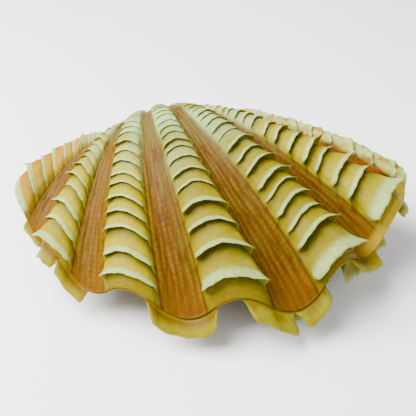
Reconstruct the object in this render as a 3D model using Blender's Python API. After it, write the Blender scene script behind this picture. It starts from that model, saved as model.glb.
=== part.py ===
# Closed pair of fluted giant clam valves, resting on the lower one.
# Lengths here are millimetres unless a name says otherwise, and Blender gets metres.
import bpy
import numpy as np
from math import radians
from mathutils import Euler, Vector

MM = 0.001

# Growth of a valve: each point of the margin swings up and over the hinge as it nears the beak
SWING = 1.47            # radians of swing for each e-fold of growth
SWING_EASE = -0.90      # less swing close to the margin
BACK_EDGE_RISE = 0.5    # steepness of the wall above the back edges
BLUNTNESS = 7.0         # extra rise just behind the margin where the valve is flat, at its ends
BLUNT_STAGE = 0.05

# The fan of ribs, from the short end to the long end of the hinge line. Each station has its
# angle from straight forward in degrees, the reach of the margin from the beak, the height of
# the wavy margin there, how far it turns towards the beak (radians, first and second order),
# and how fully the valve is arched there
FAN = (
    # angle, reach, height, turn, late turn, crown
    (-83.0, 77.0, 0.0, -0.50, 0.00, 0.14),     # back edge, short side
    (-76.5, 82.5, 0.5, -0.52, -0.02, 0.22),
    (-67.8, 88.0, 4.5, -0.52, -0.03, 0.30),    # rib 1
    (-51.0, 94.1, -5.0, -0.44, -0.05, 0.55),
    (-40.3, 96.8, 6.0, -0.28, 0.00, 0.74),     # rib 2
    (-25.8, 106.4, -6.0, -0.25, -0.06, 0.88),
    (-12.4, 109.7, 6.5, -0.17, -0.04, 0.97),   # rib 3
    (1.4, 121.4, -6.5, -0.05, -0.16, 1.00),
    (14.0, 125.7, 7.0, 0.14, -0.36, 0.98),     # rib 4
    (25.6, 139.5, -6.5, 0.12, -0.34, 0.93),
    (37.6, 140.0, 7.0, 0.28, -0.38, 0.82),     # rib 5
    (46.6, 144.3, -6.0, 0.20, -0.24, 0.74),
    (56.4, 148.5, 7.0, 0.22, -0.26, 0.62),     # rib 6
    (63.2, 149.0, -3.4, 0.20, -0.10, 0.48),
    (67.0, 147.5, 4.0, 0.30, -0.04, 0.40),     # rib 7
    (70.0, 141.0, 0.0, 0.45, 0.04, 0.34),      # back edge, long side
)
COLUMN_STEPS = (0.0, 0.28, 0.72)         # columns between two stations

# Flutes: the outermost free edge of each rib, and the ratio from each to the one before it
OUTERMOST = 0.965
FLUTE_RATIO = 0.918
FLUTE_BANDS = 11
FLUTE_LIFT = 0.46       # height of a free edge, as a share of its band
FLUTE_BELLY = 0.14      # swelling of the band behind it
FLUTE_TUCK = 0.14       # how far the next band starts under the free edge
FURROW_START = 0.10     # where a band starts in the furrows, where it has no free edge
BELLY_AT = 0.55         # where a band is fullest
FLUTE_SIDES = 0.75      # how steeply a flute rises out of the furrows beside it
END_STATIONS = 1.2      # stations over which the flutes fade out at the back edges
LAST_START = 0.15       # start of the growth after the outermost free edge
LAST_TUCK = 0.40
SMOOTH_STAGES = (0.10, 0.13, 0.17, 0.22, 0.28, 0.33)   # worn beak, without flutes

# Margin
RIM_LIFT = 1.2          # thickness of the upper valve's last growth
RIM_END_SHARE = 0.2     # what is left of that thickness at the back edges
TAB_REACH = 9.0         # how far the lower valve's last flutes stand out past the margin,
                        # with a share of it for each station in TAB_SHARES
TAB_DROP = 2.6
TAB_SHARES = (0.5, 0.5, 0.6, 0.65, 0.55, 0.45, 0.8, 1.1, 1.1, 1.0, 0.9, 0.8, 0.85, 0.9, 0.9, 0.9)
TAB_LEAST = 0.05        # share of both in the furrows
TAB_EDGE = 0.5          # thickness of the lower valve's margin
BACK_EDGE_LIFT = 0.3
JUST_INSIDE = 0.995     # growth stage at which the margin's outward direction is read
SEAM = 0.3              # gap between the valves

# Inner face: the outer one without most of its ribs, started a rim's width in from the margin
RIM_STAGE = 0.93
INNER_STAGES = (1.0, 0.93, 0.82, 0.68, 0.54, 0.42, 0.32)
RIB_FADE = 0.8          # how fast the ribs die away on the inner face
BACK_WIDTH = 0.6        # width of the flat back edges, as a share of the first station's width
BACK_DRAW = 6.0         # how far the inner face is drawn forward under the beak
PLATE_FRONT = -8.0      # hinge plate under the beak, and where it turns up to the beak's tip
PLATE_BOW = 4.0
PLATE_BACK = 0.5
PLATE_ENDS_Y = -3.2
PLATE_SPREAD = 1.15
PLATE_TAPER = 0.85
PLATE_STAGES = (0.12, 0.0)               # where its two edges meet the back edges

# Opening for the foot between the valves, on the long back edge
GAPE_HEIGHT = 4.0
GAPE_STAGES = (0.16, 0.62)

# Ligament: a spindle along the short back edge, from close beside the beaks
LIGAMENT_STAGES = (0.24, 0.72)
LIGAMENT_POINTS = 13
LIGAMENT_RADIUS = 3.2
LIGAMENT_TIP = 0.35     # radius at its two ends, as a share of the largest
LIGAMENT_GAP = 0.4

# Rest: the pair leans forward and to its short side, on flutes of the lower valve worn level
LEAN_FORWARD = 11.0     # degrees about the hinge line
LEAN_ASIDE = -3.0       # degrees about the line from front to back
WEAR = 2.5              # depth of the wear on the lowest flutes

COLOURS = {
    "upper_valve": (0.76, 0.66, 0.20, 1.0),
    "lower_valve": (0.74, 0.60, 0.18, 1.0),
    "hinge_ligament": (0.09, 0.05, 0.03, 1.0),
}
ROUGHNESS = {"upper_valve": 0.5, "lower_valve": 0.5, "hinge_ligament": 0.6}


def smooth_values(values, place):
    """Catmull-Rom curve through one value for each station."""
    values = np.asarray(values, float)
    place = np.asarray(place, float)
    last = len(values) - 1
    left = np.clip(np.floor(place).astype(int), 0, last - 1)
    part = place - left
    before = values[np.maximum(left - 1, 0)]
    start = values[left]
    end = values[left + 1]
    after = values[np.minimum(left + 2, last)]
    slope_a = 0.5 * (end - before)
    slope_b = 0.5 * (after - start)
    return (start * (2 * part**3 - 3 * part**2 + 1) + slope_a * (part**3 - 2 * part**2 + part)
            + end * (3 * part**2 - 2 * part**3) + slope_b * (part**3 - part**2))


def wave(place):
    """Height of the margin, and how near the place is to a rib (1) or a furrow (-1)."""
    heights = np.array([row[2] for row in FAN])
    left = np.clip(np.floor(place).astype(int), 0, len(FAN) - 2)
    part = place - left
    turn = np.cos(np.pi * part)
    turn = np.sign(turn) * np.abs(turn) ** 0.75
    height = heights[left] * (1 + turn) / 2 + heights[left + 1] * (1 - turn) / 2
    ribbed = np.where(left % 2 == 0, np.cos(np.pi * part), -np.cos(np.pi * part))
    return height, ribbed


def swing_at(stage):
    return SWING * np.log(1 / stage) + SWING_EASE * (1 - stage)


def edge_rise(place):
    """0 on both back edges and 1 from the next stations inwards."""
    last = len(FAN) - 1
    return np.clip(np.minimum(place, last - place), 0, 1) ** BACK_EDGE_RISE


def dome(place, stage):
    """Height of the valve without its ribs. Its flat ends rise at once behind the margin."""
    fullness = smooth_values([row[5] for row in FAN], place)
    reach = smooth_values([row[1] for row in FAN], place)
    blunt = BLUNTNESS * (1 - fullness) * (1 - np.exp((stage - 1) / BLUNT_STAGE))
    return stage * edge_rise(place) * (reach * fullness * np.sin(swing_at(stage)) + blunt)


def plan(place, stage):
    """Place of a growth stage seen from above, without the ribs."""
    angle = np.radians(smooth_values([row[0] for row in FAN], place))
    angle = angle + smooth_values([row[3] for row in FAN], place) * (1 - stage)
    angle = angle + smooth_values([row[4] for row in FAN], place) * (1 - stage) ** 2
    reach = smooth_values([row[1] for row in FAN], place) * stage
    return np.stack([reach * np.sin(angle), -reach * np.cos(angle) * np.cos(swing_at(stage))], -1)


def surface(place, stage, side):
    """Point of a valve's outer face. The lower valve is mirrored, with its ribs in the furrows."""
    place, stage = np.broadcast_arrays(np.asarray(place, float), np.asarray(stage, float))
    swing = swing_at(stage)
    rise = side * wave(place)[0] * stage
    flat = plan(place, stage)
    y = flat[..., 1] + rise * np.sin(swing)
    z = dome(place, stage) + rise * np.cos(swing) + gape(place, stage)
    return np.stack([flat[..., 0], y, side * z], -1)


def gape(place, stage):
    """Height that the long back edge is lifted by, for the foot's opening."""
    near_edge = np.clip(place - (len(FAN) - 3), 0, 2) / 2
    low, high = GAPE_STAGES
    part = np.clip((stage - low) / (high - low), 0, 1)
    return GAPE_HEIGHT * near_edge**2 * np.sin(np.pi * part) ** 2


def outward(place, stage, side):
    """Unit vector that points out of a valve's outer face."""
    step = 0.01
    last = len(FAN) - 1
    along = (surface(np.minimum(place + step, last), stage, side)
             - surface(np.maximum(place - step, 0), stage, side))
    grow = surface(place, stage * (1 + step), side) - surface(place, stage * (1 - step), side)
    normal = side * np.cross(grow, along)
    return normal / np.linalg.norm(normal, axis=-1, keepdims=True)


def valve_columns():
    places = [station + part for station in range(len(FAN) - 1) for part in COLUMN_STEPS]
    return np.array(places + [len(FAN) - 1.0])


def outer_rows(places, side):
    """Rows of the outer face from the beak to the margin, and each row's growth stage."""
    reach = smooth_values([row[1] for row in FAN], places)
    ribbed = side * wave(places)[1]
    last = len(FAN) - 1
    inside = np.clip(np.minimum(places, last - places) / END_STATIONS, 0, 1)
    flute = np.clip(0.5 + FLUTE_SIDES * ribbed, 0, 1) * inside
    rows = []
    stages = []

    def add(stage, lift):
        stage = np.broadcast_to(stage, places.shape)
        points = surface(places, stage, side)
        points = points + outward(places, stage, side) * np.broadcast_to(lift, places.shape)[:, None]
        rows.append(points)
        stages.append(stage)

    for stage in SMOOTH_STAGES:
        add(stage, 0.0)
    start = OUTERMOST * FLUTE_RATIO**FLUTE_BANDS
    for band in range(FLUTE_BANDS):
        end = start / FLUTE_RATIO
        pitch = end - start
        size = pitch * reach
        add(start + pitch * (FURROW_START - (FURROW_START + FLUTE_TUCK) * flute), 0.0)
        add(start + pitch * BELLY_AT, FLUTE_BELLY * size * flute)
        add(end, FLUTE_LIFT * size * flute)
        start = end
    pitch = 1 - OUTERMOST
    add(OUTERMOST + pitch * (LAST_START - LAST_TUCK * flute), 0.0)
    rim = surface(places, 1.0, side)
    out_of_rim = outward(places, JUST_INSIDE, side)
    if side > 0:
        rows.append(rim + out_of_rim * RIM_LIFT * np.maximum(inside, RIM_END_SHARE)[:, None])
    else:
        # The lower valve's last flutes stand out past the margin as smooth tabs
        flat = rim * np.array([1.0, 1.0, 0.0])
        forward = flat / np.linalg.norm(flat, axis=-1, keepdims=True)
        tab = (TAB_LEAST + (1 - TAB_LEAST) * flute) * smooth_values(TAB_SHARES, places)
        tip = rim + forward * (TAB_REACH * tab)[:, None]
        tip[:, 2] -= TAB_EDGE + TAB_DROP * tab
        rows.append(np.where(inside[:, None] > 0, tip, rim + out_of_rim * BACK_EDGE_LIFT))
    stages.append(np.full(places.shape, JUST_INSIDE))
    rows.append(rim)
    stages.append(np.full(places.shape, 1.0))
    rows = np.array(rows)
    rows[:, 0, 2] = 0.0
    return rows, np.array(stages)


def inner_rows(places, side, youngest):
    """Rows of the inner face from the margin back to the hinge plate under the beak."""
    last = len(FAN) - 1
    moved = np.where(places < 1, BACK_WIDTH + (1 - BACK_WIDTH) * places, places)
    moved = np.where(places > last - 1, last - BACK_WIDTH - (1 - BACK_WIDTH) * (last - places), moved)
    rim_height = dome(moved, RIM_STAGE)
    rows = []
    for stage in INNER_STAGES:
        inner = stage * RIM_STAGE
        flat = plan(moved, inner)
        height = np.maximum(dome(moved, inner) - rim_height, 0)
        rise = side * wave(moved)[0] * inner
        rise = rise - np.clip(rise, 0, RIB_FADE * height)
        y = flat[:, 1] - BACK_DRAW * (1 - stage)
        z = edge_rise(places) * (height + rise) + gape(places, stage)
        rows.append(np.stack([flat[:, 0], y, side * z], -1))
    beak_x = youngest[0, 0] + (youngest[-1, 0] - youngest[0, 0]) * places / last
    level = np.zeros(places.shape)
    arch = 1 - (2 * places / last - 1) ** 2
    front = np.stack([beak_x * PLATE_SPREAD, PLATE_FRONT - PLATE_BOW * arch, level], -1)
    back = np.stack([beak_x * PLATE_TAPER, PLATE_ENDS_Y + (PLATE_BACK - PLATE_ENDS_Y) * arch, level], -1)
    rows += [front, back]
    return np.array(rows)


def zip_strip(first, second, first_keys, second_keys):
    """Triangles between two chains of points, stepping along whichever is behind."""
    faces = []
    i = j = 0
    while i < len(first) - 1 or j < len(second) - 1:
        step_first = j == len(second) - 1
        if i < len(first) - 1 and not step_first:
            step_first = first_keys[i + 1] <= second_keys[j + 1]
        if step_first:
            faces.append((first[i], first[i + 1], second[j]))
            i += 1
        else:
            faces.append((first[i], second[j + 1], second[j]))
            j += 1
    return faces


def valve_mesh(name, side):
    places = valve_columns()
    outer, stages = outer_rows(places, side)
    inner = inner_rows(places, side, outer[0])
    for grid in (outer, inner):
        grid[..., 2] += side * SEAM / 2
    columns = len(places)
    points = np.concatenate([outer.reshape(-1, 3), inner.reshape(-1, 3)]) * MM
    outer_ids = np.arange(len(outer) * columns).reshape(len(outer), columns)
    inner_ids = np.arange(len(inner) * columns).reshape(len(inner), columns) + outer_ids.size
    ring = np.concatenate([outer_ids, inner_ids])
    faces = []
    for row in range(len(ring)):
        near = ring[row]
        far = ring[(row + 1) % len(ring)]
        for column in range(columns - 1):
            a, b, c, d = near[column], near[column + 1], far[column + 1], far[column]
            faces.append((a, b, c))
            faces.append((a, c, d))
    inner_keys = list(INNER_STAGES) + list(PLATE_STAGES)
    for column, turn in ((0, 1), (columns - 1, -1)):
        chain = list(outer_ids[:, column])
        inside = list(inner_ids[::-1, column])
        strip = zip_strip(chain, inside, list(stages[:, column]), inner_keys[::-1])
        faces += [face[::turn] for face in strip]
    if side > 0:
        faces = [face[::-1] for face in faces]
    mesh = bpy.data.meshes.new(name)
    mesh.from_pydata([tuple(p) for p in points], [], [tuple(int(i) for i in f) for f in faces])
    mesh.update()
    return mesh


def lean():
    return Euler((radians(LEAN_FORWARD), radians(LEAN_ASIDE), 0.0), "XYZ").to_matrix()


def wear_level(mesh):
    """Grinds the lowest flutes down to one level, in the pose in which the shell rests."""
    up = Vector((0.0, 0.0, 1.0)) @ lean()
    level = min(vertex.co.dot(up) for vertex in mesh.vertices) + WEAR * MM
    for vertex in mesh.vertices:
        below = level - vertex.co.dot(up)
        if below > 0:
            vertex.co += up * below
    mesh.update()


def set_down(pieces, carrier):
    """Leans the pair and puts the middle of its footprint, at its lowest level, at the origin."""
    turned = [lean() @ vertex.co for piece in pieces for vertex in piece.data.vertices]
    low = [min(point[axis] for point in turned) for axis in range(3)]
    high = [max(point[axis] for point in turned) for axis in range(3)]
    carrier.rotation_euler = lean().to_euler()
    carrier.location = (-(low[0] + high[0]) / 2, -(low[1] + high[1]) / 2, -low[2])


def material(name):
    made = bpy.data.materials.new(name)
    made.use_nodes = True
    shader = made.node_tree.nodes["Principled BSDF"]
    shader.inputs["Base Color"].default_value = COLOURS[name]
    shader.inputs["Roughness"].default_value = ROUGHNESS[name]
    shader.inputs["Metallic"].default_value = 0.0
    return made


def ligament():
    """Tapered tube that follows the seam of the short back edge at a constant gap."""
    share = np.linspace(0, 1, LIGAMENT_POINTS)
    stages = LIGAMENT_STAGES[0] + (LIGAMENT_STAGES[1] - LIGAMENT_STAGES[0]) * share
    seam = plan(np.zeros(LIGAMENT_POINTS), stages)
    thick = LIGAMENT_TIP + (1 - LIGAMENT_TIP) * np.sqrt(np.sin(np.pi * share))
    curve = bpy.data.curves.new("hinge_ligament", "CURVE")
    curve.dimensions = "3D"
    curve.bevel_depth = LIGAMENT_RADIUS * MM
    curve.bevel_resolution = 3
    curve.use_fill_caps = True
    spline = curve.splines.new("POLY")
    spline.points.add(LIGAMENT_POINTS - 1)
    for point, (x, y), radius in zip(spline.points, seam, thick):
        behind = y + LIGAMENT_GAP + LIGAMENT_RADIUS * radius
        point.co = (x * MM, behind * MM, 0.0, 1.0)
        point.radius = radius
    return bpy.data.objects.new("hinge_ligament", curve)


def clear_scene():
    for thing in list(bpy.data.objects):
        bpy.data.objects.remove(thing, do_unlink=True)


def build():
    clear_scene()
    shell = bpy.data.collections.new("giant_clam_shell")
    bpy.context.scene.collection.children.link(shell)
    upper = bpy.data.objects.new("upper_valve", valve_mesh("upper_valve", 1))
    lower = bpy.data.objects.new("lower_valve", valve_mesh("lower_valve", -1))
    wear_level(lower.data)
    carrier = bpy.data.objects.new("resting_pose", None)
    shell.objects.link(carrier)
    set_down((upper, lower), carrier)
    for piece in (upper, lower, ligament()):
        piece.data.materials.append(material(piece.name))
        piece.parent = carrier
        shell.objects.link(piece)


build()
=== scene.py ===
# Looks of the giant clam shell: two fluted valves and the dried ligament behind them
from math import radians

import bpy
import numpy as np
from mathutils import Euler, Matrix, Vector


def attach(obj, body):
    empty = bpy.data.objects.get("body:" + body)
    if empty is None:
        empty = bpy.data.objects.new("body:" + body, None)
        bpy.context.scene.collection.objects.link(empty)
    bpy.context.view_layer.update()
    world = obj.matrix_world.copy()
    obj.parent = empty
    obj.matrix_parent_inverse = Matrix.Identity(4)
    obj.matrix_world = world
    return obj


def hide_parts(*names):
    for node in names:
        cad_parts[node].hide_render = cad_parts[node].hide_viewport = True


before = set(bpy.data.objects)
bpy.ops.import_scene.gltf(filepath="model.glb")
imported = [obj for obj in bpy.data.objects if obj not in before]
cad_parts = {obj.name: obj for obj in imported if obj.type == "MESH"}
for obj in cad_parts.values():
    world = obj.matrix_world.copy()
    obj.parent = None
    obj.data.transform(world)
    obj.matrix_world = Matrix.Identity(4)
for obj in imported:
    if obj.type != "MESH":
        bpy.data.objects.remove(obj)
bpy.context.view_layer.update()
print("frame loaded")

mm = 0.001

# The same growth law as the solid valves: a fan of ribs, each row a station of the margin
fan = np.array((
    # angle, reach, height, turn, late turn, crown
    (-83.0, 77.0, 0.0, -0.50, 0.00, 0.14),
    (-76.5, 82.5, 0.5, -0.52, -0.02, 0.22),
    (-67.8, 88.0, 4.5, -0.52, -0.03, 0.30),     # rib 1
    (-51.0, 94.1, -5.0, -0.44, -0.05, 0.55),
    (-40.3, 96.8, 6.0, -0.28, 0.00, 0.74),      # rib 2
    (-25.8, 106.4, -6.0, -0.25, -0.06, 0.88),
    (-12.4, 109.7, 6.5, -0.17, -0.04, 0.97),    # rib 3
    (1.4, 121.4, -6.5, -0.05, -0.16, 1.00),
    (14.0, 125.7, 7.0, 0.14, -0.36, 0.98),      # rib 4
    (25.6, 139.5, -6.5, 0.12, -0.34, 0.93),
    (37.6, 140.0, 7.0, 0.28, -0.38, 0.82),      # rib 5
    (46.6, 144.3, -6.0, 0.20, -0.24, 0.74),
    (56.4, 148.5, 7.0, 0.22, -0.26, 0.62),      # rib 6
    (63.2, 149.0, -3.4, 0.20, -0.10, 0.48),
    (67.0, 147.5, 4.0, 0.30, -0.04, 0.40),      # rib 7
    (70.0, 141.0, 0.0, 0.45, 0.04, 0.34),
))
lastPlace = len(fan) - 1

valve = {
    "swing": 1.47,              # how the margin swings over the hinge as it nears the beak
    "swingEase": -0.90,
    "backEdgeRise": 0.5,
    "bluntness": 7.0,
    "bluntStage": 0.05,
    "gapeHeight": 4.0,          # opening for the foot, on the long back edge
    "gapeStages": (0.16, 0.62),
    "seam": 0.3,
    "columnsEach": 23,          # columns of the mesh between two stations
    "bands": 17,                # growth bands on each rib
    "beakRows": 14,             # rows of the mesh on the smooth beak
    "beakStage": 0.10,
    "beakGap": 0.012,           # growth stages between the beak and the oldest band
    "lastRows": 9,              # rows between the last flute and the margin
    "lastStage": 0.999,
    "endStations": 1.2,         # stations over which the flutes fade out at the back edges
    "rimLift": 1.2,
    "wornStages": (0.18, 0.50),     # flutes are worn away before the first and whole after the second
    "lipLift": 0.41,            # height of a flute's free edge, as a share of its band
    "fullPitch": 0.085,         # growth stages past which a wider band has no taller flute
    "paleFrom": (0.68, 0.40),       # share of a band where its lip begins, on small and broad flutes
    "fluteSides": (-0.20, 0.25),    # where a flute starts and is whole, from furrow (-1) to rib (1)
    "hornPlace": (0.30, 0.25),      # middle and width of the horns, on that same scale
    "sweep": 0.046,             # how far the free edges run forward at the foot of a rib
    "archWidth": 0.70,          # where that foot is, from rib (0) to furrow (1)
    "ribletHeight": 0.40,
    "ribletSpacing": 0.28,      # in stations
    "lobeReach": 9.0,
    "lobeDrop": 2.6,
    "plumpness": 1.5,           # how far a rib's flanks stand out of the furrows beside it
    "rimShare": 0.93,           # the inner face starts this far out, as a share of the outer one
    "innerStages": (1.0, 0.965, 0.93, 0.88, 0.82, 0.75, 0.68, 0.61, 0.54, 0.42, 0.32),
    "innerForward": 6.0,        # how far the deepest part of the hollow lies ahead of the beak
    "hingePlate": ((1.15, -8.0, -4.0), (0.85, -3.2, 3.7)),  # its two rows: width, place, arch
    "crumple": 4,               # how much rougher the outer face is at the two ends
    "knobHeight": 1.1,          # knobs on rib 7
    "lean": (11.0, -3.0, 0.0),  # resting pose of the pair
    "setDown": (-28.664, 58.550, 45.788),
}

# Each rib's outermost free edge, ratio from edge to edge, waver of that ratio, flute size, how
# much larger the flutes close to the margin are, the horns at their two ends, unevenness, and how
# much farther apart the last few edges are
ribs = np.array((
    # station, outermost, ratio, waver, size, growth, short side, long side, uneven, spread
    (0.0, 0.985, 0.900, 0.0, 0.3, 0.0, 0.0, 0.0, 0.2, 0.2),
    (2.0, 0.985, 0.900, 0.3, 0.6, 0.5, 0.5, 0.0, 0.4, 0.3),
    (4.0, 0.985, 0.912, 1.9, 0.8, 0.4, 0.6, 0.0, 0.4, 0.6),
    (6.0, 0.950, 0.918, 2.8, 0.85, 0.3, 0.45, 0.1, 0.2, 0.4),
    (8.0, 0.925, 0.926, 0.6, 1.0, 0.7, 0.1, 0.3, 0.2, 1.7),
    (10.0, 0.966, 0.924, 4.1, 1.0, 0.9, 0.1, 0.25, 0.25, 0.4),
    (12.0, 0.955, 0.920, 5.0, 0.95, 1.1, 0.0, 0.5, 0.3, 0.9),
    (14.0, 0.950, 0.905, 1.2, 0.22, 0.0, 0.0, 0.0, 0.3, 0.0),
    (15.0, 0.950, 0.905, 2.2, 0.3, 0.0, 0.0, 0.0, 0.2, 0.0),
))

# Last flutes of the lower valve, which stand out under the margin as smooth lobes
lobes = (
    # middle, half width in stations, reach and drop as shares of those above
    (1.2, 0.50, 0.5, 0.8),
    (3.80, 0.45, 0.9, 1.3),
    (4.62, 0.36, 0.9, 1.2),
    (6.95, 0.60, 1.1, 1.3),
    (8.48, 0.38, 1.3, 2.6),
    (9.24, 0.28, 1.0, 1.4),
    (10.70, 0.42, 0.9, 2.0),
    (12.45, 0.45, 0.5, 2.4),
)

# Section of a lobe, from its root over its edge and back underneath: shares of reach and drop
lobeRows = ((0.3, 0.55), (0.6, 0.85), (0.85, 1.0), (1.0, 0.95), (0.97, 0.72), (0.7, 0.35), (0.35, 0.10))


def smoothValues(values, place):
    values = np.asarray(values, float)
    left = np.clip(np.floor(place).astype(int), 0, len(values) - 2)
    part = place - left
    before = values[np.maximum(left - 1, 0)]
    start = values[left]
    end = values[left + 1]
    after = values[np.minimum(left + 2, len(values) - 1)]
    slopeA = 0.5 * (end - before)
    slopeB = 0.5 * (after - start)
    return (start * (2 * part**3 - 3 * part**2 + 1) + slopeA * (part**3 - 2 * part**2 + part)
            + end * (3 * part**2 - 2 * part**3) + slopeB * (part**3 - part**2))


# 0 at low and beyond it, 1 at high, where high may be the smaller of the two
def softStep(low, high, value):
    part = np.clip((value - low) / (high - low), 0, 1)
    return part * part * (3 - 2 * part)


# Sum of sines, each an amount and a phase, as a stand-in for random variation
def ripple(*waves):
    return sum(amount * np.sin(phase) for amount, phase in waves)


def waveAt(place):
    left = np.clip(np.floor(place).astype(int), 0, lastPlace - 1)
    part = place - left
    turn = np.cos(np.pi * part)
    ribbed = np.where(left % 2 == 0, turn, -turn)
    turn = np.sign(turn) * np.abs(turn) ** 0.75
    return fan[left, 2] * (1 + turn) / 2 + fan[left + 1, 2] * (1 - turn) / 2, ribbed


def swingAt(stage):
    return valve["swing"] * np.log(1 / stage) + valve["swingEase"] * (1 - stage)


def domeAt(place, stage):
    fullness = smoothValues(fan[:, 5], place)
    reach = smoothValues(fan[:, 1], place)
    blunt = valve["bluntness"] * (1 - fullness) * (1 - np.exp((stage - 1) / valve["bluntStage"]))
    edge = np.clip(np.minimum(place, lastPlace - place), 0, 1) ** valve["backEdgeRise"]
    return stage * edge * (reach * fullness * np.sin(swingAt(stage)) + blunt)


def gapeAt(place, stage):
    nearEdge = np.clip(place - (lastPlace - 2), 0, 2) / 2
    low, high = valve["gapeStages"]
    part = np.clip((stage - low) / (high - low), 0, 1)
    return valve["gapeHeight"] * nearEdge**2 * np.sin(np.pi * part) ** 2


def planAt(place, stage):
    angle = np.radians(smoothValues(fan[:, 0], place))
    angle = angle + smoothValues(fan[:, 3], place) * (1 - stage)
    angle = angle + smoothValues(fan[:, 4], place) * (1 - stage) ** 2
    reach = smoothValues(fan[:, 1], place) * stage
    return reach * np.sin(angle), -reach * np.cos(angle) * np.cos(swingAt(stage))


def surfaceAt(place, stage, side):
    place, stage = np.broadcast_arrays(place, stage)
    rise = side * waveAt(place)[0] * stage
    x, y = planAt(place, stage)
    y = y + rise * np.sin(swingAt(stage))
    z = domeAt(place, stage) + rise * np.cos(swingAt(stage)) + gapeAt(place, stage)
    return np.stack([x, y, side * z], -1)


def outwardAt(place, stage, side):
    step = 0.01
    along = (surfaceAt(np.minimum(place + step, lastPlace), stage, side)
             - surfaceAt(np.maximum(place - step, 0), stage, side))
    grow = surfaceAt(place, stage * (1 + step), side) - surfaceAt(place, stage * (1 - step), side)
    normal = side * np.cross(grow, along)
    return normal / np.linalg.norm(normal, axis=-1, keepdims=True)


# One growth band from the root of a flute to its free edge and back underneath:
# share of the band, lift as a share of the full lip, underside, where painted shade goes
bandRows = (
    (-0.16, -0.06, 0.0),
    (0.00, 0.06, 0.0),
    (0.14, 0.16, 0.0),
    (0.28, 0.24, 0.0),
    (0.42, 0.31, 0.0),
    (0.54, 0.37, 0.0),
    (0.65, 0.43, 0.0),
    (0.75, 0.52, 0.0),
    (0.84, 0.66, 0.0),
    (0.93, 0.83, 0.0),
    (1.00, 1.00, 0.0),
    (0.990, 0.86, 0.6),
    (0.95, 0.62, 1.0),
    (0.90, 0.24, 1.0),
)


# Value from the table of ribs, level at each rib and changing in the furrows
def ribValue(place, column):
    at = np.clip(np.searchsorted(ribs[:, 0], place, side="right") - 1, 0, len(ribs) - 2)
    part = softStep(0.2, 0.8, (place - ribs[at, 0]) / (ribs[at + 1, 0] - ribs[at, 0]))
    return ribs[at, column] * (1 - part) + ribs[at + 1, column] * part


# Growth stage of each free edge from the oldest to the youngest, at every place
def freeEdges(place, foot):
    ages = np.arange(valve["bands"])[::-1, None]
    outermost = ribValue(place, 1)
    ratio = ribValue(place, 2)
    phase = ribValue(place, 3)
    waver = 1 + 0.016 * np.sin(2 * np.pi * ages / 9.0 + phase) * np.minimum(ages, 1)
    waver = waver + 0.008 * np.sin(ages * 2.4 + phase * 2)
    spread = ribValue(place, 9) * (1 - np.exp(-ages / 1.6))
    edges = outermost * ratio ** (ages + spread) * waver
    forward = valve["sweep"] * foot * np.clip((1 - edges) / 0.10, 0, 1)
    return np.minimum(edges * (1 + forward), 0.990)


# Growth stage, lift and finish values of each row of the outer face, from beak to margin
def outerGrid(place, side):
    reach = smoothValues(fan[:, 1], place)
    ribbed = side * waveAt(place)[1]
    inside = np.clip(np.minimum(place, lastPlace - place) / valve["endStations"], 0, 1)
    flute = softStep(*valve["fluteSides"], ribbed) * inside
    nearest = 2 * np.round((place - (side < 0)) / 2) + (side < 0)
    shortSide = softStep(0.1, -0.1, place - nearest)
    hornSize = ribValue(place, 6) * shortSide + ribValue(place, 7) * (1 - shortSide)
    hornMiddle, hornWidth = valve["hornPlace"]
    horn = 1 + hornSize * np.exp(-((ribbed - hornMiddle) / hornWidth) ** 2)
    size = ribValue(place, 4)
    boost = ribValue(place, 5)
    away = np.clip(np.arccos(np.clip(ribbed, -1, 1)) / np.pi / valve["archWidth"], 0, 1)
    foot = (1 - np.sqrt(1.04 - away**2)) * inside
    edges = freeEdges(place, foot)
    oldest = edges[0] ** 2 / edges[1]
    first = valve["beakStage"]
    small, broad = valve["paleFrom"]
    rows = []

    def add(*values):
        rows.append([np.broadcast_to(value, place.shape) for value in values])

    for part in np.linspace(0, 1, valve["beakRows"]):
        add(first + (oldest - valve["beakGap"] - first) * part**1.2, 0.0, 0.0, 0.0, 0.0)
    start = oldest
    for band in range(valve["bands"]):
        end = edges[band]
        pitch = end - start
        seed = band * 1.7 + side * 0.9
        whim = ripple((1.0, place * 0.9 + seed * 3.1), (0.9, place * 0.63 + seed * 5.3))
        whim = 1 + ribValue(place, 8) * whim
        whole = 0.25 + 0.75 * softStep(*valve["wornStages"], end)
        jag = ripple((0.020, place * 9 + seed), (0.016, place * 23 + seed * 2),
                     (0.012, place * 57 + seed * 5))
        height = valve["lipLift"] * np.minimum(pitch, valve["fullPitch"]) * reach
        height = height * size * whim * flute * whole * horn
        height = height * (1 + boost * softStep(0.80, 0.97, end))
        lipStart = small + (broad - small) * np.clip(boost, 0, 1) * softStep(0.84, 0.94, end)
        paleWidth = 0.2 + 1.1 * (small - lipStart)
        for index, (share, lift, under) in enumerate(bandRows):
            # the pale lip is faded on its underside, part of the painted shade there
            pale = softStep(lipStart, lipStart + paleWidth, share) * (1 - 0.4 * under)
            level = (index + 0.5) / len(bandRows)
            tip = softStep(0.5, 1.0, share)
            reached = level + (share * (1 + jag * tip) - level) * flute
            add(start + pitch * reached, height * lift * (1 + 2 * jag * tip),
                share, pale * flute * whole, under * flute)
        start = end
    for part in np.linspace(0, 1, valve["lastRows"] + 1)[:-1]:      # low terraces up to the margin
        share = part - 0.35 * flute * (1 - part) ** 2 + 0.04 * (1 - part)
        lift = 0.9 * np.sin(np.pi * part / 2) + 0.45 * np.sin(2.5 * np.pi * part) ** 2
        add(start + (valve["lastStage"] - start) * share, lift * flute, 0.3, 0.0, 0.0)
    return np.array(rows), ribbed, inside


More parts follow.
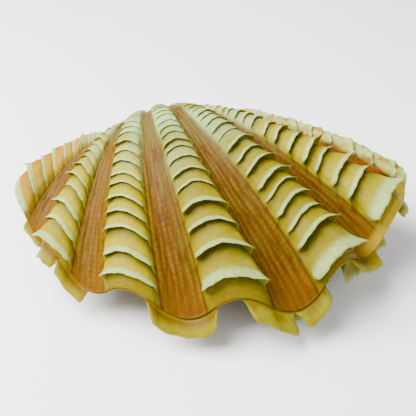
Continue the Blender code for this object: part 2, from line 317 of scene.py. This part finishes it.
# Fine beaded riblets in the furrows: their height in mm and how far a place is in a furrow
def ribletLift(place, stage, side, ribbed, inside):
    middle = 2 * np.round((place - (side > 0)) / 2) + (side > 0)
    across = (place - middle) / valve["ribletSpacing"]
    growth = stage * smoothValues(fan[:, 1], place)
    crest = 0.5 + 0.5 * np.cos(2 * np.pi * across + 0.35 * np.sin(growth * 0.31))
    number = np.round(across)
    bead = 0.78 + 0.22 * np.sin(growth * 2.3 + number * 2.1) * np.sin(growth * 0.37 + number)
    valley = softStep(-0.05, -0.55, ribbed) * inside
    return valve["ribletHeight"] * crest * bead * valley * np.sqrt(stage), valley


# The inner face, a smooth bowl, and the two rows of the hinge plate behind it
def innerRows(place, side, beakEnds):
    moved = np.where(place < 1, 0.6 + 0.4 * place, place)
    moved = np.where(place > lastPlace - 1, lastPlace - 0.6 - 0.4 * (lastPlace - place), moved)
    rimHeight = domeAt(moved, valve["rimShare"])
    edge = np.clip(np.minimum(place, lastPlace - place), 0, 1) ** valve["backEdgeRise"]
    rows = []
    for stage in valve["innerStages"]:
        inner = stage * valve["rimShare"]
        x, y = planAt(moved, inner)
        height = np.maximum(domeAt(moved, inner) - rimHeight, 0)
        rise = side * waveAt(moved)[0] * inner
        rise = rise - np.clip(rise, 0, 0.8 * height)
        z = edge * (height + rise) + gapeAt(place, stage)
        rows.append(np.stack([x, y - valve["innerForward"] * (1 - stage), side * z], -1))
    beakX = beakEnds[0] + (beakEnds[1] - beakEnds[0]) * place / lastPlace
    arch = 1 - (2 * place / lastPlace - 1) ** 2
    for width, middle, bow in valve["hingePlate"]:
        rows.append(np.stack([beakX * width, middle + bow * arch, 0 * place], -1))
    return np.array(rows)


# Triangles between two chains of corners, each step taken on the chain whose next key is lower
def zipStrip(first, second, firstKeys, secondKeys):
    faces = []
    i = j = 0
    while i < len(first) - 1 or j < len(second) - 1:
        stepFirst = j == len(second) - 1
        if i < len(first) - 1 and not stepFirst:
            stepFirst = firstKeys[i + 1] <= secondKeys[j + 1]
        if stepFirst:
            faces.append((first[i], first[i + 1], second[j]))
            i += 1
        else:
            faces.append((first[i], second[j + 1], second[j]))
            j += 1
    return faces


# From a valve's own frame in mm to the resting pose in metres
def toRest(points):
    turn = np.array(Euler([radians(angle) for angle in valve["lean"]], "XYZ").to_matrix())
    return (points @ turn.T + np.array(valve["setDown"])) * mm


def makeMesh(name, points, faces, values):
    mesh = bpy.data.meshes.new(name)
    mesh.from_pydata(points, [], faces)
    for key, array in values.items():
        layer = mesh.attributes.new(key, "FLOAT", "POINT")
        layer.data.foreach_set("value", np.ascontiguousarray(array, dtype=np.float32).ravel())
    mesh.polygons.foreach_set("use_smooth", [True] * len(mesh.polygons))
    mesh.update()
    thing = bpy.data.objects.new(name, mesh)
    bpy.context.scene.collection.objects.link(thing)
    return thing


# Unevenness of the outer face in mm
def unevenness(place, stage, inside):
    rough = ripple((0.10, place * 7.3 + stage * 31), (0.08, place * 13.1 - stage * 47),
                   (0.05, place * 29 + stage * 83))
    crumpled = softStep(13.0, 13.8, place) + softStep(1.9, 1.2, place)
    rough = rough * (1 + valve["crumple"] * crumpled)
    knobs = ripple((0.5, stage * 173 + place * 9), (0.5, stage * 241 - place * 14),
                   (0.4, place * 17 + stage * 60))
    knobs = valve["knobHeight"] * np.maximum(knobs, 0)
    knobs = knobs * softStep(13.25, 13.8, place) * softStep(0.2, 0.5, stage)
    return (rough + knobs) * inside


# Rows from the last growth row to the rim, and how far out on its lobe each of them is
def marginRows(place, side, inside):
    rim = surfaceAt(place, np.float64(1.0), side)
    rimOut = outwardAt(place, np.float64(0.995), side)
    if side > 0:
        return [rim + rimOut * (valve["rimLift"] * np.maximum(inside, 0.2))[:, None], rim], []
    forward = rim * np.array([1.0, 1.0, 0.0])
    forward = forward / np.linalg.norm(forward, axis=-1, keepdims=True)
    reaches = np.full(place.shape, 0.05)
    drops = np.full(place.shape, 0.05)
    for middle, halfWidth, reach, drop in lobes:
        within = softStep(1.10, 0.84, np.abs(place - middle) / halfWidth) * (inside > 0)
        reaches = np.maximum(reaches, within * reach)
        drops = np.maximum(drops, within * drop)
    wobble = 1 + ripple((0.05, place * 5.1), (0.04, place * 9.7 + 1), (0.03, place * 21))
    rows = []
    hangs = []
    for part, drop in lobeRows:
        row = rim + forward * (valve["lobeReach"] * reaches * wobble * part)[:, None]
        row[:, 2] -= (0.5 * (inside > 0) + valve["lobeDrop"] * drops) * drop
        rows.append(np.where(inside[:, None] > 0, row, rim + rimOut * 0.3 * drop))
        hangs.append(part * softStep(0.06, 0.30, reaches))
    return rows + [rim], hangs


# Quads from row to row all the way round, and walls along the two back edges
def valveFaces(ids, outerCount, stage, side):
    after = np.roll(ids, -1, 0)
    quads = np.stack([ids[:, :-1], ids[:, 1:], after[:, 1:], after[:, :-1]], -1).reshape(-1, 4)
    faces = [tuple(face) for face in quads.tolist()]
    innerKeys = (list(valve["innerStages"]) + [0.12, 0.0])[::-1]
    for column, turn in ((0, 1), (-1, -1)):
        outerChain = ids[:outerCount, column].tolist()
        innerChain = ids[outerCount:, column][::-1].tolist()
        outerKeys = stage[:, column].tolist() + [1.0] * (outerCount - len(stage))
        faces += [face[::turn] for face in zipStrip(outerChain, innerChain, outerKeys, innerKeys)]
    if side > 0:
        faces = [face[::-1] for face in faces]
    return faces


def makeValve(name, side):
    place = np.linspace(0, lastPlace, lastPlace * valve["columnsEach"] + 1)
    rows, ribbed, inside = outerGrid(place, side)
    stage, lift, share, pale, under = rows.transpose(1, 0, 2)
    stage = np.clip(stage, valve["beakStage"], valve["lastStage"])
    riblet, valley = ribletLift(place, stage, side, ribbed, inside)
    valley = np.broadcast_to(valley, stage.shape)
    fullAt = np.clip((1 - stage) / 0.04, 0, 1)
    plump = valve["plumpness"] * softStep(-0.95, 0.30, ribbed) * inside * fullAt
    raised = lift + riblet + unevenness(place, stage, inside) + plump
    outer = surfaceAt(place, stage, side) + outwardAt(place, stage, side) * raised[..., None]
    outer[0, :, 2] = 0.0
    margin, hangs = marginRows(place, side, inside)
    inner = innerRows(place, side, (outer[0, 0, 0], outer[0, -1, 0]))
    grid = np.concatenate([outer, np.array(margin), inner])
    grid[..., 2] += side * valve["seam"] / 2
    points = toRest(grid.reshape(-1, 3))
    points[:, 2] = np.maximum(points[:, 2], 0.0)    # flutes worn level where the shell rests
    count = len(grid)
    columns = len(place)
    outerCount = len(outer) + len(margin)
    ids = np.arange(count * columns).reshape(count, columns)
    faces = valveFaces(ids, outerCount, stage, side)

    def padded(array, fill):
        return np.concatenate([array, np.full((count - len(outer), columns), fill)])

    onMargin = np.zeros((count, columns))
    onMargin[len(outer):outerCount] = 1.0
    hang = np.zeros((count, columns))
    for row, part in enumerate(hangs):
        hang[len(outer) + row] = part
    onInside = np.zeros((count, columns))
    onInside[outerCount:] = 1.0
    values = {
        "pale": padded(pale, 0.0),
        "under": padded(under, 0.0),
        "share": padded(share, 0.5),
        "valley": np.where(onMargin > 0, valley[-1] * (side > 0), padded(valley, 0.0)),
        "age": padded(stage, 1.0),
        "growth": padded(stage * smoothValues(fan[:, 1], place), 150.0),
        "fan": np.broadcast_to(place, (count, columns)),
        "inside": onInside,
        "hang": hang,
    }
    thing = makeMesh(name, points.tolist(), faces, values)
    print(name, "made with", len(faces), "faces")
    return thing


ligament = {
    "stages": (0.24, 0.72),     # from beside the beaks along the short back edge
    "radius": 3.2,
    "tip": 0.35,                # radius at its two ends, as a share of the above
    "gap": 0.4,                 # clear of the valves' edges
    "rings": 60,
    "around": 40,
    "ridges": 0.22,
    "dark": (0.020, 0.010, 0.006),
    "light": (0.085, 0.045, 0.022),
    "grain": 500,
    "roughness": 0.6,
    "specular": 0.12,
    "bump": 0.5,
    "bumpDepth": 0.0006,
}


def makeLigament():
    along = np.linspace(0, 1, ligament["rings"])[:, None]
    turn = np.linspace(0, 2 * np.pi, ligament["around"], endpoint=False)[None, :]
    low, high = ligament["stages"]
    x, y = planAt(np.zeros(along.shape), low + (high - low) * along)
    share = ligament["tip"] + (1 - ligament["tip"]) * np.sqrt(np.sin(np.pi * along))
    radius = ligament["radius"] * share
    ridges = 0.6 + ripple((0.4, turn * 5 + along * 9), (0.3, turn * 11 - along * 17))
    skin = radius - ligament["ridges"] * ridges
    middleY = y + ligament["gap"] + radius
    ring = np.stack([x + 0 * turn, middleY + skin * np.cos(turn), skin * np.sin(turn)], -1)
    points = toRest(ring.reshape(-1, 3))
    ids = np.arange(ring.shape[0] * ring.shape[1]).reshape(ring.shape[:2])
    faces = []
    for row in range(len(ids) - 1):
        for column in range(ids.shape[1]):
            after = (column + 1) % ids.shape[1]
            faces.append((ids[row, column], ids[row, after], ids[row + 1, after], ids[row + 1, column]))
    faces.append(tuple(ids[0][::-1]))
    faces.append(tuple(ids[-1]))
    faces = [tuple(int(corner) for corner in face) for face in faces]
    return makeMesh("hingeLigament", points.tolist(), faces, {})


finish = {
    "bandGold": (0.150, 0.096, 0.000),      # ribs near the margin
    "bandOlive": (0.085, 0.066, 0.000),     # shaded foot of each growth band
    "bandBright": (0.165, 0.132, 0.000),    # its fullest part, on the two middle ribs
    "bandYellow": (0.250, 0.205, 0.000),    # and on the ribs beside them
    "bandAmber": (0.300, 0.135, 0.004),     # and on those of the short side
    "bandPale": (0.215, 0.212, 0.006),
    "paintedGlowGold": (0.380, 0.260, 0.006),     # thin translucent margin of the long side
    "worn": (0.27, 0.39, 0.17),             # beak and older growth
    "lip": (0.260, 0.335, 0.100),
    "lipMiddle": (0.195, 0.250, 0.070),
    # painted shade on the undersides of the flutes' free edges
    "under": (0.130, 0.110, 0.000),
    "furrow": (0.066, 0.026, 0.000),
    "furrowDeep": (0.050, 0.010, 0.000),
    "furrowOlive": (0.060, 0.038, 0.000),
    # thin golden margin of the long side, with painted light let through it
    "furrowOrange": (0.098, 0.040, 0.000),
    "furrowEnd": (0.125, 0.046, 0.000),
    "riblet": (0.150, 0.076, 0.003),
    "lobeShadedRoot": (0.085, 0.044, 0.000),      # lobes under the margin, from root to edge; the root darker with painted shade under the margin
    "lobeEdge": (0.190, 0.155, 0.002),
    "ember": (0.30, 0.055, 0.003),          # orange patches near the back edges
    "knob": (0.340, 0.370, 0.100),          # worn crest beside the long back edge
    "cream": (0.36, 0.35, 0.24),
    "roughness": 0.30,
    "roughnessSpread": 0.25,
    "specular": 0.06,
    "glow": 0.20,                           # light let through the thin edges
    "glowColour": (1.0, 0.65, 0.12),
    "glowDepth": 0.004,
    "ribletPitch": 0.14,                    # in stations
    "bump": 0.35,
    "bumpDepth": 0.0012,
}


# Short names for the shader nodes that the finishes are made of
class Nodes:
    def __init__(self, name):
        self.material = bpy.data.materials.new(name)
        self.material.use_nodes = True
        self.tree = self.material.node_tree
        self.shader = self.tree.nodes["Principled BSDF"]

    def link(self, value, socket):
        if isinstance(value, (int, float)):
            socket.default_value = value
        elif isinstance(value, tuple):
            socket.default_value = (*value, 1.0) if len(value) == 3 else value
        else:
            self.tree.links.new(value, socket)

    def value(self, name):
        node = self.tree.nodes.new("ShaderNodeAttribute")
        node.attribute_name = name
        return node.outputs["Fac"]

    def place(self):
        return self.tree.nodes.new("ShaderNodeTexCoord").outputs["Object"]

    def noise(self, scale, detail=4.0, roughness=0.55, where=None):
        node = self.tree.nodes.new("ShaderNodeTexNoise")
        node.inputs["Scale"].default_value = scale
        node.inputs["Detail"].default_value = detail
        node.inputs["Roughness"].default_value = roughness
        self.tree.links.new(where or self.place(), node.inputs["Vector"])
        return node.outputs["Fac"]

    # Noise drawn out along the growth lines or along the ribs, by the scale of each
    def stretched(self, byGrowth, byPlace, offset, detail, roughness):
        growth = self.maths("MULTIPLY", self.value("growth"), byGrowth)
        place = self.maths("MULTIPLY", self.value("fan"), byPlace)
        return self.noise(1.0, detail, roughness, self.combine(growth, place, offset))

    def maths(self, kind, first, second=0.0, third=0.0, clamp=False):
        node = self.tree.nodes.new("ShaderNodeMath")
        node.operation = kind
        node.use_clamp = clamp
        for number, value in enumerate((first, second, third)):
            self.link(value, node.inputs[number])
        return node.outputs[0]

    def step(self, value, low, high):
        node = self.tree.nodes.new("ShaderNodeMapRange")
        node.interpolation_type = "SMOOTHSTEP"
        self.link(value, node.inputs["Value"])
        self.link(low, node.inputs["From Min"])
        self.link(high, node.inputs["From Max"])
        return node.outputs["Result"]

    def mix(self, factor, first, second):
        node = self.tree.nodes.new("ShaderNodeMix")
        node.data_type = "RGBA"
        self.link(factor, node.inputs["Factor"])
        self.link(first, node.inputs[6])
        self.link(second, node.inputs[7])
        return node.outputs[2]

    def combine(self, x, y, z):
        node = self.tree.nodes.new("ShaderNodeCombineXYZ")
        for number, value in enumerate((x, y, z)):
            self.link(value, node.inputs[number])
        return node.outputs[0]

    def roughen(self, height, strength, depth):
        node = self.tree.nodes.new("ShaderNodeBump")
        node.inputs["Strength"].default_value = strength
        node.inputs["Distance"].default_value = depth
        self.link(height, node.inputs["Height"])
        self.link(node.outputs["Normal"], self.shader.inputs["Normal"])


def shellFinish(name, marginGold):
    n = Nodes(name)
    age = n.value("age")
    growth = n.value("growth")
    place = n.value("fan")
    cloud = n.noise(60, 5)
    fine = n.noise(420, 4, 0.6)
    lines = n.stretched(1.6, 1.3, 0.0, 3, 0.6)
    streaks = n.stretched(0.12, 14.0, 3.0, 4, 0.6)
    # Growth bands: painted shade in olive at the foot of each band under the lip above it, yellow
    # further out, gold near the margin
    share = n.value("share")
    sideways = n.step(n.maths("ABSOLUTE", n.maths("SUBTRACT", place, 9.0)), 1.2, 2.6)
    bright = n.mix(sideways, finish["bandBright"], finish["bandYellow"])
    fullness = n.step(n.maths("MULTIPLY_ADD", cloud, 0.35, share), 0.16, 0.75)
    bandWithFootShade = n.mix(fullness, finish["bandOlive"], bright)
    young = n.step(n.maths("MULTIPLY_ADD", cloud, 0.3, age), 1.02, 1.20)
    gold = n.mix(young, bandWithFootShade, finish["bandGold"])
    band = n.mix(marginGold, gold, finish["bandGold"])
    band = n.mix(n.maths("MULTIPLY", n.step(place, 3.4, 1.6), 0.60), band, finish["bandAmber"])
    band = n.mix(n.maths("MULTIPLY", n.step(lines, 0.5, 0.72), 0.20), band, finish["bandPale"])
    band = n.mix(n.maths("MULTIPLY", n.step(lines, 0.46, 0.30), 0.35), band, finish["bandOlive"])
    band = n.mix(n.maths("MULTIPLY", n.step(streaks, 0.52, 0.34), 0.28), band, finish["bandOlive"])
    # Fine radial riblets, beaded by the growth lines
    drift = n.maths("MULTIPLY", n.stretched(0.05, 0.9, 7.0, 2, 0.5), 4.0)
    phase = n.maths("MULTIPLY_ADD", place, 2 * np.pi / finish["ribletPitch"], drift)
    riblet = n.maths("MULTIPLY_ADD", n.maths("COSINE", phase), 0.5, 0.5)
    beadPhase = n.maths("MULTIPLY_ADD", growth, 2.6, n.maths("MULTIPLY", cloud, 9.0))
    bead = n.maths("MULTIPLY_ADD", n.maths("SINE", beadPhase), 0.22, 0.78)
    riblet = n.maths("MULTIPLY", n.maths("MULTIPLY", riblet, bead), n.step(streaks, 0.30, 0.60))
    furrow = n.mix(n.step(place, 8.0, 5.5), finish["furrow"], finish["furrowOrange"])
    furrow = n.mix(n.maths("MULTIPLY", n.step(streaks, 0.64, 0.34), 0.55), furrow, finish["furrowDeep"])
    furrow = n.mix(n.maths("MULTIPLY", n.step(cloud, 0.42, 0.62), 0.55), furrow, finish["furrowOlive"])
    furrow = n.mix(n.maths("MULTIPLY", riblet, 0.72), furrow, finish["riblet"])
    furrow = n.mix(n.maths("MULTIPLY", n.step(age, 0.84, 0.99), 0.55), furrow, finish["furrowEnd"])
    valley = n.value("valley")
    skin = n.mix(valley, band, furrow)
    # Painted shade in the creases where the flanks of the ribs meet the furrows
    creaseShade = n.maths("MULTIPLY", n.step(valley, 0.05, 0.35), n.step(valley, 0.85, 0.5))
    skin = n.mix(n.maths("MULTIPLY", creaseShade, 0.72), skin, finish["furrowDeep"])
    # Orange patches at the two ends, then the worn beak and older growth
    ends = n.maths("ADD", n.step(place, 2.6, 1.0), n.step(place, 12.6, 14.2))
    ember = n.maths("MULTIPLY", n.step(n.noise(55, 3), 0.42, 0.58), ends, clamp=True)
    middleAge = n.maths("MULTIPLY", n.step(age, 0.66, 0.74), n.step(age, 0.93, 0.86))
    ember = n.maths("MAXIMUM", ember, n.maths("MULTIPLY", n.step(place, 1.9, 1.3), middleAge))
    skin = n.mix(n.maths("MULTIPLY", ember, 0.85), skin, finish["ember"])
    wear = n.maths("MULTIPLY", n.step(age, 0.62, 0.22), n.step(cloud, 0.25, 0.6))
    wear = n.maths("MULTIPLY_ADD", n.step(cloud, 0.55, 0.7), 0.08, wear, clamp=True)
    wear = n.maths("MULTIPLY", wear, n.maths("MULTIPLY_ADD", valley, -0.80, 0.9))
    skin = n.mix(wear, skin, finish["worn"])
    # Painted glow: the thin margin of the long side brightened as if light shone through it
    glowThrough = n.maths("MULTIPLY", n.step(age, 0.955, 0.985), n.step(place, 10.4, 11.6))
    skin = n.mix(n.maths("MULTIPLY", glowThrough, 0.8), skin, finish["paintedGlowGold"])
    # Pale free edges of the flutes
    lip = n.mix(sideways, finish["lipMiddle"], finish["lip"])
    lip = n.mix(n.maths("MULTIPLY", n.step(fine, 0.35, 0.6), 0.5), lip, finish["worn"])
    lip = n.mix(n.maths("MULTIPLY", n.step(streaks, 0.45, 0.70), 0.60), lip, finish["bandPale"])
    skin = n.mix(n.maths("MULTIPLY", n.step(n.value("pale"), 0.1, 0.85), 0.92), skin, lip)
    knobbed = n.maths("MULTIPLY", n.step(place, 13.35, 13.75), n.step(n.noise(90, 3), 0.36, 0.52))
    skin = n.mix(n.maths("MULTIPLY", knobbed, 0.85), skin, finish["knob"])
    # Undersides of the free edges painted darker, as shade
    skin = n.mix(n.value("under"), skin, finish["under"])
    # Lobes of the lower valve, with painted shade at their roots under the margin
    hang = n.maths("MULTIPLY_ADD", streaks, 0.5, n.value("hang"))
    lobe = n.mix(n.step(hang, 0.45, 1.15), finish["lobeShadedRoot"], finish["lobeEdge"])
    paler = n.maths("MULTIPLY", n.step(place, 7.9, 8.3), n.step(cloud, 0.40, 0.58))
    lobe = n.mix(n.maths("MULTIPLY", paler, 0.7), lobe, finish["bandPale"])
    skin = n.mix(n.step(n.value("hang"), 0.05, 0.30), skin, lobe)
    skin = n.mix(n.value("inside"), skin, finish["cream"])
    n.link(skin, n.shader.inputs["Base Color"])
    rough = n.maths("MULTIPLY_ADD", fine, finish["roughnessSpread"], finish["roughness"])
    n.link(rough, n.shader.inputs["Roughness"])
    n.link(finish["specular"], n.shader.inputs["Specular IOR Level"])
    n.link(finish["glow"], n.shader.inputs["Subsurface Weight"])
    n.shader.inputs["Subsurface Radius"].default_value = finish["glowColour"]
    n.link(finish["glowDepth"], n.shader.inputs["Subsurface Scale"])
    onBand = n.maths("MULTIPLY_ADD", valley, -0.75, 0.9)
    height = n.maths("ADD", n.maths("MULTIPLY", lines, onBand), n.maths("MULTIPLY", fine, 0.30))
    height = n.maths("ADD", height, n.maths("MULTIPLY", n.maths("MULTIPLY", riblet, valley), 0.55))
    n.roughen(height, finish["bump"], finish["bumpDepth"])
    return n.material


def ligamentFinish():
    n = Nodes("driedLigament")
    grain = n.noise(ligament["grain"], 4)
    n.link(n.mix(grain, ligament["dark"], ligament["light"]), n.shader.inputs["Base Color"])
    n.link(ligament["roughness"], n.shader.inputs["Roughness"])
    n.link(ligament["specular"], n.shader.inputs["Specular IOR Level"])
    n.roughen(grain, ligament["bump"], ligament["bumpDepth"])
    return n.material


upperValve = makeValve("upperValveSkin", 1)
upperValve.data.materials.append(shellFinish("upperShell", 0.0))
lowerValve = makeValve("lowerValveSkin", -1)
lowerValve.data.materials.append(shellFinish("lowerShell", 0.35))
hingeLigament = makeLigament()
hingeLigament.data.materials.append(ligamentFinish())
for piece, node, slotName in ((upperValve, "upper_valve", "upper_shell"),
                              (lowerValve, "lower_valve", "lower_shell"),
                              (hingeLigament, "hinge_ligament", "ligament")):
    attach(piece, "root")
    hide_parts(node)
print("pieces joined to the frame")

studio = {
    "halfFloor": 6.0,
    "floor": (0.86, 0.86, 0.86),
    "floorRoughness": 0.8,
    "sky": (1.0, 1.0, 1.0),
    "skyStrength": 0.62,
    "keyPower": 44.0,
    "keyPlace": (-0.48, 0.05, 0.75),
    "keySize": 0.70,
    "fillPower": 5.0,
    "fillPlace": (0.5, -0.7, 0.5),
    "fillSize": 0.8,
    "aim": (0.0, 0.0, 0.03),    # both lamps point here
}


def makeStudio():
    floorMesh = bpy.data.meshes.new("floor")
    half = studio["halfFloor"]
    corners = [(-half, -half, 0), (half, -half, 0), (half, half, 0), (-half, half, 0)]
    floorMesh.from_pydata(corners, [], [(0, 1, 2, 3)])
    floor = bpy.data.objects.new("floor", floorMesh)
    bpy.context.scene.collection.objects.link(floor)
    n = Nodes("paperFloor")
    n.link(studio["floor"], n.shader.inputs["Base Color"])
    n.link(studio["floorRoughness"], n.shader.inputs["Roughness"])
    floorMesh.materials.append(n.material)
    world = bpy.data.worlds.new("softSky")
    world.use_nodes = True
    sky = world.node_tree.nodes["Background"]
    sky.inputs["Color"].default_value = (*studio["sky"], 1.0)
    sky.inputs["Strength"].default_value = studio["skyStrength"]
    bpy.context.scene.world = world
    for name in ("key", "fill"):
        lamp = bpy.data.lights.new(name, "AREA")
        lamp.energy = studio[name + "Power"]
        lamp.size = studio[name + "Size"]
        holder = bpy.data.objects.new(name, lamp)
        holder.location = studio[name + "Place"]
        toward = Vector(studio["aim"]) - holder.location
        holder.rotation_euler = toward.to_track_quat("-Z", "Y").to_euler()
        bpy.context.scene.collection.objects.link(holder)


camera = {
    "place": (-0.03406, -0.28577, 0.28572),
    "turn": (49.199, 1.481, -7.108),        # degrees about X, Y and Z
    "fieldOfView": 34.0,
    "sensorWidth": 36.0,
    "nearest": 0.01,
}


def makeCamera():
    lens = bpy.data.cameras.new("view")
    lens.sensor_width = camera["sensorWidth"]
    lens.angle = radians(camera["fieldOfView"])
    lens.clip_start = camera["nearest"]
    holder = bpy.data.objects.new("view", lens)
    holder.location = camera["place"]
    holder.rotation_euler = [radians(angle) for angle in camera["turn"]]
    bpy.context.scene.collection.objects.link(holder)
    bpy.context.scene.camera = holder


makeStudio()
makeCamera()
print("studio made")
